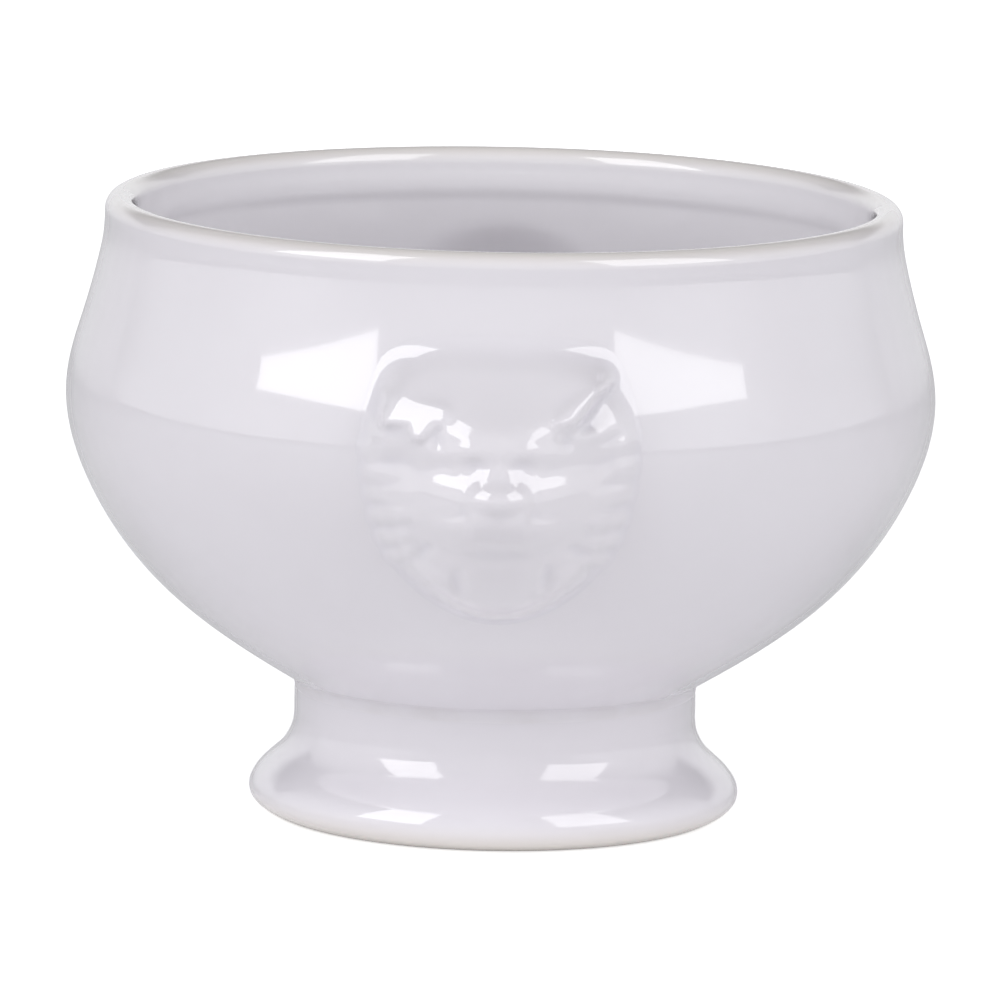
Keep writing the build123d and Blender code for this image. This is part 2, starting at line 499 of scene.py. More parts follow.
@dataclass(frozen=True)
class Strand:
    """One ridge or groove that runs from a root to a tip: a lock of the mane or a crease."""

    root: Point
    tip: Point
    half_width: float
    rise: float
    bend: float = 0.0
    roundness: float = 1.2
    taper: float = 0.35
    fade: float = 0.01

    def height(self, across: Array, up: Array) -> Array:
        """Height of the strand at points of the face.

        Args:
            across: Distance from the middle, to the right.
            up: Distance over the head's centre.

        Returns:
            Height at each point, zero away from the strand.
        """
        run = np.array(self.tip) - np.array(self.root)
        length = float(np.hypot(*run))
        right, rise = across - self.root[0], up - self.root[1]
        share = (right * run[0] + rise * run[1]) / length**2
        inside = np.clip(share, 0, 1)
        off = (rise * run[0] - right * run[1]) / length - self.bend * 4 * inside * (1 - inside)
        half = self.half_width * (1 - self.taper * (2 * inside - 1) ** 2)
        reach = (off / half) ** 2 + ((share - inside) * length / half) ** 2
        return self.rise * soft_step(inside / self.fade) * np.clip(1 - reach, 0, None) ** self.roundness


def mane_lock(root: Point, tip: Point, half_width: float, rise: float, bend: float) -> Strand:
    """A lock of the mane, which rises slowly from its root to a blunt tip."""
    return Strand(root, tip, half_width, rise, bend, roundness=1.0, fade=0.45)


@dataclass
class LionHead:
    """Sprigged lion head: a smooth crown, a broad snout and a fringe of mane, under one glaze."""

    bowl: Bowl
    crown_top: float = 22.4
    guide: tuple[Point, ...] = (
        (10.5, 22.0), (16.6, 19.8), (19.6, 13.8), (20.4, 7.0), (20.2, 2.0), (18.9, -5.0),
        (16.9, -10.4), (13.6, -14.9), (7.4, -19.8),
    )
    beard_tip: float = 21.9
    outline_steps: int = 400
    lobe_depth: float = 0.5
    lobe_reach: float = 20.0
    mane_thickness: float = 1.4
    mane_blend: float = 3.0
    edge_roll: float = 3.2
    crown_roll: float = 5.0
    crown_fade: Point = (9.0, 6.0)
    margin: float = 1.3
    face_sink: float = 0.01
    edge_sink: float = 0.2
    back_sink: float = 0.4
    glaze_flow: float = 0.45
    pool_and_shade_flows: int = 4
    pool_and_shade_depth: float = 0.35
    pitch: float = 0.15
    grid_half: float = 26.0
    mesh_steps: int = 176
    profile_steps: int = 800
    raised_join: int = 4
    sunk_join: int = 3
    profile: tuple[Point, ...] = (
        (-24.0, 1.2), (-21.6, 3.4), (-18.0, 6.2), (-14.5, 7.7), (-11.5, 8.6), (-9.2, 9.1),
        (-6.5, 10.2), (-3.5, 10.6), (-0.5, 10.0), (1.5, 9.3), (4.0, 8.2), (6.0, 8.3), (7.6, 8.4),
        (8.6, 8.35), (9.4, 8.05), (10.4, 7.45), (12.0, 6.3), (16.0, 3.7), (19.0, 1.6), (22.0, 0.0),
        (24.0, 0.0),
    )
    crown_left: tuple[Point, ...] = (
        (6.0, 15.0), (9.0, 17.0), (14.0, 18.6), (18.0, 19.2), (23.0, 19.4),
    )
    crown_right: tuple[Point, ...] = (
        (6.0, 10.5), (9.0, 11.2), (12.0, 13.0), (14.0, 14.6), (16.5, 16.8), (20.0, 19.0),
    )
    crown_side: float = 3.6
    crown_start: Point = (8.0, 11.0)
    brow_lifts: Point = (1.0, 2.4)
    brow_half: float = 13.0
    brow_limit: float = 1.3
    brow_start: Point = (5.0, 5.0)
    brow_end: Point = (21.0, 6.0)
    face_bend: tuple[Point, ...] = (
        (-24.0, 0.05), (-14.0, 0.055), (-9.0, 0.045), (-4.0, 0.032), (1.0, 0.03), (5.0, 0.03),
        (8.0, 0.028), (9.6, 0.024), (11.0, 0.015), (13.0, 0.008), (16.0, 0.004), (23.0, 0.0),
    )
    left_bend: float = 0.007
    forelock: tuple[Strand, ...] = (
        Strand((-17.8, 10.6), (-8.6, 11.8), 2.1, 1.0, 0.3, roundness=1.0, taper=0.2),
        Strand((-10.4, 11.4), (-12.2, 8.8), 1.8, 1.0, roundness=1.0, taper=0.1),
    )
    forelock_middle: tuple[float, float, float] = (-12.0, 11.6, 5.7)
    forelock_slope: Point = (0.21, -0.24)
    forelock_blend: float = 0.7
    nose_half_width: tuple[Point, ...] = (
        (-2.6, 4.4), (-0.6, 5.0), (1.4, 4.3), (2.8, 2.8), (4.2, 1.4), (7.0, 1.1),
    )
    nose_rise: tuple[Point, ...] = (
        (-7.5, 0.0), (-4.4, 0.5), (-2.4, 0.8), (-0.6, 0.8), (0.8, 0.7), (2.0, 0.55), (3.4, 0.4),
        (5.0, 0.2), (7.0, 0.0),
    )
    nose_side: float = 1.0
    raised: tuple[Form, ...] = (
        Form(0.0, 0.0, 4.4, 2.4, 1.1, roundness=1.0, paired=False),
        Form(4.9, -5.2, 5.6, 3.6, 0.7, roundness=1.3),
        Form(10.4, -15.0, 6.0, 3.5, 1.4, tilt=24, roundness=1.2),
        Form(13.6, 10.6, 5.6, 3.6, 0.9, tilt=-12, roundness=1.2, paired=False),
        Form(-15.4, 7.6, 5.4, 4.6, 1.7, paired=False),
        Form(-11.6, 6.2, 3.6, 3.4, 0.9, paired=False),
        Form(5.4, 6.4, 6.0, 1.8, 0.35, tilt=-8),
    )
    sunk: tuple[Form, ...] = (
        Form(4.2, 4.6, 2.6, 1.5, 0.5, tilt=-6),
        Form(0.0, -9.0, 5.2, 2.1, 0.55, roundness=1.4, paired=False),
    )
    eyes: Form = Form(5.4, 4.4, 2.4, 1.1, 0.3, tilt=-8, roundness=1.0)
    locks: tuple[Strand, ...] = (
        mane_lock((-14.2, 6.4), (-20.2, 5.2), 1.9, 0.3, 0.3),
        mane_lock((-11.8, 3.9), (-19.8, 1.6), 2.0, 0.65, 0.5),
        mane_lock((-11.8, 0.9), (-19.0, -1.5), 2.0, 0.75, 0.5),
        mane_lock((-12.2, -2.5), (-19.2, -5.2), 2.1, 1.25, 0.5),
        mane_lock((-12.0, -5.9), (-18.0, -8.6), 2.0, 1.1, 0.4),
        mane_lock((-10.9, -8.8), (-16.3, -11.6), 1.8, 0.85, 0.3),
        mane_lock((12.8, 4.6), (18.4, 7.0), 1.9, 0.4, 0.4),
        mane_lock((12.8, 1.4), (20.0, 3.2), 2.0, 0.42, 0.4),
        mane_lock((12.6, -1.6), (20.0, -0.8), 2.0, 0.7, 0.3),
        mane_lock((12.4, -4.7), (19.2, -5.0), 2.1, 1.15, -0.2),
        mane_lock((12.2, -7.5), (18.4, -8.4), 2.0, 1.0, -0.3),
        mane_lock((11.6, -9.9), (17.0, -12.0), 1.7, 0.75, -0.3),
    )
    temple_lock: Strand = Strand((8.0, 10.6), (16.2, 16.2), 1.2, 0.7, 0.3, roundness=1.0, taper=0.1)
    creases: tuple[Strand, ...] = (
        Strand((-5.9, -11.6), (-5.7, -16.2), 1.5, 0.5, roundness=1.5),
        Strand((7.4, -10.8), (7.0, -16.8), 1.5, 0.65, roundness=1.5),
        Strand((-10.0, -8.2), (-13.0, -11.2), 1.5, 0.65, roundness=1.5),
        Strand((10.4, -8.3), (13.8, -10.2), 1.5, 0.65, roundness=1.5),
        Strand((-4.6, -2.2), (-8.4, -3.0), 1.1, 0.35, 0.4, roundness=1.5),
        Strand((4.6, -2.2), (8.4, -3.0), 1.1, 0.35, -0.4, roundness=1.5),
        Strand((-9.0, 6.6), (-9.0, 9.6), 1.0, 0.45, roundness=1.3),
        Strand((9.8, 6.8), (10.2, 9.6), 1.2, 0.4, roundness=1.3),
    )

    def __post_init__(self) -> None:
        """Works out the outline and the relief on a fine grid."""
        self.outline_angles, self.outline_reach = self.outline()
        half = self.grid_half
        self.grid = np.arange(-half, half + self.pitch / 2, self.pitch)
        across, up = np.meshgrid(self.grid, self.grid)
        self.front = self.flowed(self.relief(across, up))

    def outline(self) -> tuple[Array, Array]:
        """Outline of the head as its reach in each direction from the centre.

        Returns:
            Angles in rising order, and the reach at each of them.
        """
        stations = [(0.0, self.crown_top), *self.guide, (0.0, -self.beard_tip)]
        right = smooth_line(stations, (1, 0), (-1, 0), self.outline_steps)
        whole = np.vstack([right, (right * (-1, 1))[::-1]])
        angles = np.arctan2(whole[:, 1], whole[:, 0])
        order = np.argsort(angles)
        return angles[order], np.hypot(whole[:, 0], whole[:, 1])[order]

    def reach(self, angle: Array) -> Array:
        """Finds how far the outline reaches, with a lobe at the tip of each lock.

        Args:
            angle: Directions from the head's centre, in radians.

        Returns:
            Reach in each direction.
        """
        plain = np.interp(angle, self.outline_angles, self.outline_reach, period=math.tau)
        lobes = np.zeros_like(angle)
        for lock in self.locks:
            tip = math.atan2(lock.tip[1], lock.tip[0])
            off = np.angle(np.exp(1j * (angle - tip))) * self.lobe_reach / lock.half_width
            lobes = np.maximum(lobes, np.clip(1 - off**2, 0, None))
        return plain + self.lobe_depth * (lobes - 0.5)

    def nose(self, across: Array, up: Array) -> Array:
        """Height of the nose's wedge, which widens from the bridge down to the tip.

        Args:
            across: Distance from the middle, to the right.
            up: Distance over the head's centre.

        Returns:
            Height at each point.
        """
        width = np.interp(up, *np.array(self.nose_half_width).T)
        rise = np.interp(up, *np.array(self.nose_rise).T)
        return rise * soft_step((width - np.abs(across)) / self.nose_side + 0.5)

    def relief(self, across: Array, up: Array) -> Array:
        """Distance of the face from the crock's axis, before the glaze evens it out.

        Args:
            across: Distance from the middle, to the right.
            up: Distance over the head's centre.

        Returns:
            Distance from the axis at each point.
        """
        plain = self.bowl.wall_front(across, up)
        swollen = self.bowl.swollen_front(across, up)
        rows = smooth_line(list(self.profile), (1, 1), (1, 0), self.profile_steps)
        outward = np.clip(across / self.brow_half, -self.brow_limit, self.brow_limit)
        lift = np.where(across < 0, *self.brow_lifts) * outward**2
        lift = lift * soft_step((up - self.brow_start[0]) / self.brow_start[1])
        lift = lift * soft_step((self.brow_end[0] - up) / self.brow_end[1])
        ridge = np.interp(up - lift, rows[:, 0], rows[:, 1])
        bend = np.interp(up, *np.array(self.face_bend).T)
        fall = np.where(across < 0, np.maximum(bend, self.left_bend), bend) * across**2
        left = np.interp(up, *np.array(self.crown_left).T)
        right = np.interp(up, *np.array(self.crown_right).T)
        side = np.where(across < 0, left, right)
        beside = soft_step((np.abs(across) - side) / self.crown_side + 0.5)
        low, high = self.crown_start
        body = (ridge - fall) * (1 - beside * soft_step((up - low) / (high - low)))
        mane = swollen - plain + self.mane_thickness
        body = soft_max(body, mane, self.mane_blend) + self.nose(across, up)
        forms = (*self.raised, *self.locks, self.temple_lock)
        raised = self.joined(forms, self.raised_join, across, up)
        sunk = self.joined((*self.sunk, *self.creases), self.sunk_join, across, up)
        body = body + raised - sunk + self.eyes.height(across, up)
        body = self.with_forelock(body, across, up)
        return plain + body * self.edge(across, up)

    def joined(self, forms: tuple[Form | Strand, ...], power: int, across: Array, up: Array) -> Array:
        """Height of several forms together, softly the highest of them by the given power."""
        return sum(form.height(across, up) ** power for form in forms) ** (1 / power)

    def with_forelock(self, body: Array, across: Array, up: Array) -> Array:
        """Adds the broad flat lock that is combed to the left of the brow.

        Args:
            body: Height of the face without it.
            across: Distance from the middle, to the right.
            up: Distance over the head's centre.

        Returns:
            Height of the face with it.
        """
        middle_across, middle_up, height = self.forelock_middle
        flat = height + self.forelock_slope[0] * (across - middle_across)
        flat = flat + self.forelock_slope[1] * (up - middle_up)
        cover = np.maximum.reduce([lock.height(across, up) for lock in self.forelock])
        return body + (flat - body) * soft_step(cover / self.forelock_blend)

    def edge(self, across: Array, up: Array) -> Array:
        """Finds how the height falls near the outline: round at the mane, slowly at the crown.

        Args:
            across: Distance from the middle, to the right.
            up: Distance over the head's centre.

        Returns:
            Share of the height that is left at each point.
        """
        inside = self.reach(np.arctan2(up, across)) - np.hypot(across, up)
        top = soft_step((up - self.crown_fade[0]) / self.crown_fade[1])
        roll = self.edge_roll + (self.crown_roll - self.edge_roll) * top
        share = np.clip(inside / roll, 0, 1)
        rounded = share * (2 - share)
        return rounded * (1 - top) + soft_step(share) * top

    def flowed(self, front: Array) -> Array:
        """Lets the glaze fill the creases and soften the edges.

        Args:
            front: Relief on the fine grid.

        Returns:
            The softer relief.
        """
        sigma = self.glaze_flow / self.pitch
        span = np.arange(-int(3 * sigma) - 1, int(3 * sigma) + 2)
        kernel = np.exp(-0.5 * (span / sigma) ** 2)
        kernel /= kernel.sum()
        padded = np.pad(front, len(span) // 2, mode="edge")
        across = np.apply_along_axis(np.convolve, 1, padded, kernel, "valid")
        return np.apply_along_axis(np.convolve, 0, across, kernel, "valid")

    def read(self, field_values: Array, across: Array, up: Array) -> Array:
        """Reads values kept on the fine grid at places between its points.

        Args:
            field_values: Values at the grid's points.
            across: Distance from the middle, to the right.
            up: Distance over the head's centre.

        Returns:
            Value at each place.
        """
        column = (across - self.grid[0]) / self.pitch
        row = (up - self.grid[0]) / self.pitch
        left = np.clip(column.astype(int), 0, len(self.grid) - 2)
        low = np.clip(row.astype(int), 0, len(self.grid) - 2)
        aside, above = column - left, row - low
        lower = field_values[low, left] * (1 - aside) + field_values[low, left + 1] * aside
        upper = field_values[low + 1, left] * (1 - aside) + field_values[low + 1, left + 1] * aside
        return lower * (1 - above) + upper * above

    def build(self, side: Side) -> Piece:
        """Presses the head from a sheet that is drawn to its outline, and backs it to the wall.

        Args:
            side: The side of the crock that the head looks out of.

        Returns:
            The head's object.
        """
        deselect_all()
        steps = self.mesh_steps
        bpy.ops.mesh.primitive_grid_add(x_subdivisions=steps, y_subdivisions=steps, size=2.0)
        piece = bpy.context.object
        piece.name = piece.data.name = f"{side.name.lower()}_lion_head_dressed"
        bpy.ops.object.mode_set(mode="EDIT")
        bpy.ops.mesh.select_all(action="SELECT")
        bpy.ops.mesh.extrude_region_move(TRANSFORM_OT_translate={"value": (0, 0, -1)})
        bpy.ops.object.mode_set(mode="OBJECT")
        sheet = vertex_places(piece) * MM
        behind = sheet[:, 2] < -0.5
        across, up = self.drawn(sheet[:, :2])
        wall = self.bowl.swollen_front(across, up)
        face = self.read(self.front, across, up) - self.face_sink
        front = np.maximum(face, wall - self.edge_sink)
        depth = np.where(behind, wall - self.back_sink, front)
        turn = -side.value
        places = np.stack([across * turn, depth * side.value, self.bowl.head_height + up], axis=1)
        move_vertices(piece, places)
        bpy.ops.object.mode_set(mode="EDIT")
        bpy.ops.mesh.select_all(action="SELECT")
        bpy.ops.mesh.normals_make_consistent(inside=False)
        bpy.ops.object.mode_set(mode="OBJECT")
        self.mark_pools_and_shade(piece, across, up, behind)
        shade(piece, SPRIG_EDGE)
        return piece

    def drawn(self, square: Array) -> tuple[Array, Array]:
        """Draws a square sheet out to the head's outline and a little past it.

        Args:
            square: Places on the sheet, from -1 to 1 both ways.

        Returns:
            Places across and up, in millimetres from the head's centre.
        """
        x, y = square[:, 0], square[:, 1]
        disc_x = x * np.sqrt(np.clip(1 - y**2 / 2, 0, None))
        disc_y = y * np.sqrt(np.clip(1 - x**2 / 2, 0, None))
        angle = np.arctan2(disc_y, disc_x)
        reach = (self.reach(angle) + self.margin) * np.hypot(disc_x, disc_y)
        return reach * np.cos(angle), reach * np.sin(angle)

    def mark_pools_and_shade(self, piece: Piece, across: Array, up: Array, behind: Array) -> None:
        """Marks how deep the glaze pools at each point, as an attribute that the material paints
        darker: pooled glaze, and painted shade in the recesses.

        Args:
            piece: The head.
            across: Distance of each vertex from the middle, to the right.
            up: Distance of each vertex over the head's centre.
            behind: Whether each vertex is on the back.
        """
        wide = self.front
        for _ in range(self.pool_and_shade_flows):
            wide = self.flowed(wide)
        depth = self.read(wide - self.front, across, up)
        pool_and_shade = np.where(behind, 0.0, np.clip(depth / self.pool_and_shade_depth, 0, 1))
        attribute = piece.data.attributes.new("pool_and_shade", "FLOAT", "POINT")
        attribute.data.foreach_set("value", pool_and_shade.astype(np.float32))


class NodeSet:
    """Small helper that adds and joins the nodes of one tree."""

    def __init__(self, tree: Tree) -> None:
        """Keeps the tree."""
        self.tree = tree

    def add(self, kind: str, **values: object) -> Node:
        """Adds a node and sets its properties and its named inputs.

        Args:
            kind: Type name of the node.
            values: Properties of the node, and inputs by their names with spaces as underscores.

        Returns:
            The new node.
        """
        node = self.tree.nodes.new(kind)
        for key, value in values.items():
            if hasattr(node, key):
                setattr(node, key, value)
            else:
                node.inputs[key.replace("_", " ")].default_value = value
        return node

    def join(self, start: Socket, end: Socket) -> None:
        """Joins an output to an input."""
        self.tree.links.new(start, end)

    def mixed(self, share: Socket, first: object, second: object) -> Socket:
        """Mixes two colours.

        Args:
            share: How much of the second colour there is.
            first: A socket or a colour.
            second: A socket or a colour.

        Returns:
            The mixed colour.
        """
        node = self.add("ShaderNodeMix", data_type="RGBA")
        self.join(share, node.inputs["Factor"])
        for socket, value in ((node.inputs[6], first), (node.inputs[7], second)):
            if isinstance(value, Socket):
                self.join(value, socket)
            else:
                socket.default_value = value
        return node.outputs[2]

    def ramped(self, value: Socket, span: Point, top: float = 1.0) -> Socket:
        """Ramps a value over a span, smooth at both ends.

        Args:
            value: The value.
            span: Where the ramp starts and where it ends.
            top: The result at the ramp's end, from 0 at its start.

        Returns:
            The ramp's result.
        """
        node = self.add("ShaderNodeMapRange", interpolation_type="SMOOTHSTEP", To_Max=top)
        node.inputs["From Min"].default_value, node.inputs["From Max"].default_value = span
        self.join(value, node.inputs["Value"])
        return node.outputs["Result"]

    def counted(self, operation: str, first: Socket, second: Socket) -> Socket:
        """Counts with two values.

        Args:
            operation: Name of the sum or product.
            first: The first value.
            second: The second value.

        Returns:
            The result.
        """
        node = self.add("ShaderNodeMath", operation=operation)
        self.join(first, node.inputs[0])
        self.join(second, node.inputs[1])
        return node.outputs["Value"]


def fired_surface() -> Tree:
    """Node group of what firing leaves all over a glaze: faint clouds, ripples and specks.

    Returns:
        The group, with outputs Cloud, Ripple and Speck.
    """
    group = bpy.data.node_groups.new("fired_surface", "ShaderNodeTree")
    for name in ("Cloud Scale", "Ripple Scale", "Speck Scale"):
        group.interface.new_socket(name, in_out="INPUT", socket_type="NodeSocketFloat")
    for name in ("Cloud", "Ripple", "Speck"):
        group.interface.new_socket(name, in_out="OUTPUT", socket_type="NodeSocketFloat")
    nodes = NodeSet(group)
    start = nodes.add("NodeGroupInput")
    end = nodes.add("NodeGroupOutput")
    place = nodes.add("ShaderNodeTexCoord").outputs["Object"]
    cloud = nodes.add("ShaderNodeTexNoise", Detail=3.0, Roughness=0.5)
    ripple = nodes.add("ShaderNodeTexNoise", Detail=2.0, Roughness=0.45)
    speck = nodes.add("ShaderNodeTexVoronoi", feature="F1", Randomness=1.0)
    for node, name in ((cloud, "Cloud Scale"), (ripple, "Ripple Scale"), (speck, "Speck Scale")):
        nodes.join(place, node.inputs["Vector"])
        nodes.join(start.outputs[name], node.inputs["Scale"])
    nodes.join(nodes.ramped(cloud.outputs["Fac"], CLOUD_RANGE), end.inputs["Cloud"])
    nodes.join(ripple.outputs["Fac"], end.inputs["Ripple"])
    near = nodes.ramped(speck.outputs["Distance"], SPECK_SIZE)
    lone = nodes.add("ShaderNodeSeparateColor")
    nodes.join(speck.outputs["Color"], lone.inputs["Color"])
    chosen = nodes.ramped(lone.outputs["Red"], SPECK_CHOICE)
    nodes.join(nodes.counted("MULTIPLY", near, chosen), end.inputs["Speck"])
    return group


@dataclass(frozen=True)
class Firing:
    """How coarse the marks of firing are in one finish, and how high its ripples stand."""

    cloud_scale: float
    ripple_scale: float
    speck_scale: float
    ripple_height: float = 0.00001

    def place(self, nodes: NodeSet, shader: Node, group: Tree) -> Node:
        """Places the fired surface in a material and ripples its shader.

        Args:
            nodes: The material's nodes.
            shader: The material's shader.
            group: The node group of the fired surface.

        Returns:
            The group's node, whose clouds and specks are for the colour.
        """
        fired = nodes.add("ShaderNodeGroup", node_tree=group)
        fired.inputs["Cloud Scale"].default_value = self.cloud_scale
        fired.inputs["Ripple Scale"].default_value = self.ripple_scale
        fired.inputs["Speck Scale"].default_value = self.speck_scale
        bump = nodes.add("ShaderNodeBump", Strength=1.0, Distance=self.ripple_height)
        nodes.join(fired.outputs["Ripple"], bump.inputs["Height"])
        nodes.join(bump.outputs["Normal"], shader.inputs["Normal"])
        return fired


@dataclass(frozen=True)
class PorcelainGlaze:
    """Clear gloss glaze over white porcelain, thin and warm at the edges, bare on the bearing ring."""

    name: str
    body: Colour = (0.79, 0.767, 0.81, 1.0)
    cloud: Colour = (0.778, 0.752, 0.795, 1.0)
    warm: Colour = (0.81, 0.765, 0.72, 1.0)
    bare: Colour = (0.74, 0.69, 0.63, 1.0)
    # pooled glaze in the head's recesses, painted darker as painted shade as well
    pooled_and_shaded: Colour = (0.74, 0.718, 0.772, 1.0)
    # painted light: the inside of the bowl is painted this lighter colour
    painted_inside_light: Colour = (0.852, 0.834, 0.866, 1.0)
    speck: Colour = (0.20, 0.15, 0.11, 1.0)
    gloss: float = 0.09
    bare_roughness: float = 0.62
    index: float = 1.52
    coat: float = 1.0
    coat_roughness: float = 0.04
    firing: Firing = Firing(28.0, 260.0, 70.0)
    lip: Point = (92.4 * MM, 96.5 * MM)
    foot_edge: Point = (5.0 * MM, 0.4 * MM)
    bearing: Point = (0.3 * MM, 0.05 * MM)

    def material(self, group: Tree) -> Material:
        """Makes the material.

        Args:
            group: The node group of the fired surface.

        Returns:
            The material.
        """
        material = bpy.data.materials.new(self.name)
        material.use_nodes = True
        nodes = NodeSet(material.node_tree)
        shader = material.node_tree.nodes["Principled BSDF"]
        shader.inputs["IOR"].default_value = self.index
        shader.inputs["Coat Weight"].default_value = self.coat
        shader.inputs["Coat Roughness"].default_value = self.coat_roughness
        fired = self.firing.place(nodes, shader, group)
        place = nodes.add("ShaderNodeSeparateXYZ")
        nodes.join(nodes.add("ShaderNodeTexCoord").outputs["Object"], place.inputs["Vector"])
        height = place.outputs["Z"]
        colour = nodes.mixed(fired.outputs["Cloud"], self.body, self.cloud)
        # The inside of the bowl is painted lighter, as painted light; the head's recesses are painted
        # darker, as pooled glaze and painted shade.
        for name, tint in (("painted_inside_light", self.painted_inside_light), ("pool_and_shade", self.pooled_and_shaded)):
            mark = nodes.add("ShaderNodeAttribute", attribute_name=name)
            colour = nodes.mixed(mark.outputs["Fac"], colour, tint)
        for span in (self.lip, self.foot_edge):
            colour = nodes.mixed(nodes.ramped(height, span), colour, self.warm)
        bare = nodes.ramped(height, self.bearing)
        colour = nodes.mixed(bare, colour, self.bare)
        colour = nodes.mixed(fired.outputs["Speck"], colour, self.speck)
        nodes.join(colour, shader.inputs["Base Color"])
        rough = nodes.add("ShaderNodeMapRange", To_Min=self.gloss, To_Max=self.bare_roughness)
        nodes.join(bare, rough.inputs["Value"])
        nodes.join(rough.outputs["Result"], shader.inputs["Roughness"])
        return material


@dataclass(frozen=True)
class FiredSlip:
    """Fired slip with little glaze on it, warm and spotted where dirt caught in the crease."""

    name: str = "fired_slip"
    pale: Colour = (0.785, 0.762, 0.80, 1.0)
    dark: Colour = (0.755, 0.73, 0.76, 1.0)
    speck: Colour = (0.25, 0.19, 0.14, 1.0)
    roughness: float = 0.16
    firing: Firing = Firing(150.0, 900.0, 260.0)

    def material(self, group: Tree) -> Material:
        """Makes the material.

        Args:
            group: The node group of the fired surface.

        Returns:
            The material.
        """
        material = bpy.data.materials.new(self.name)
        material.use_nodes = True
        nodes = NodeSet(material.node_tree)
        shader = material.node_tree.nodes["Principled BSDF"]
        shader.inputs["Roughness"].default_value = self.roughness
        fired = self.firing.place(nodes, shader, group)
        colour = nodes.mixed(fired.outputs["Cloud"], self.pale, self.dark)
        colour = nodes.mixed(fired.outputs["Speck"], colour, self.speck)
        nodes.join(colour, shader.inputs["Base Color"])
        return material


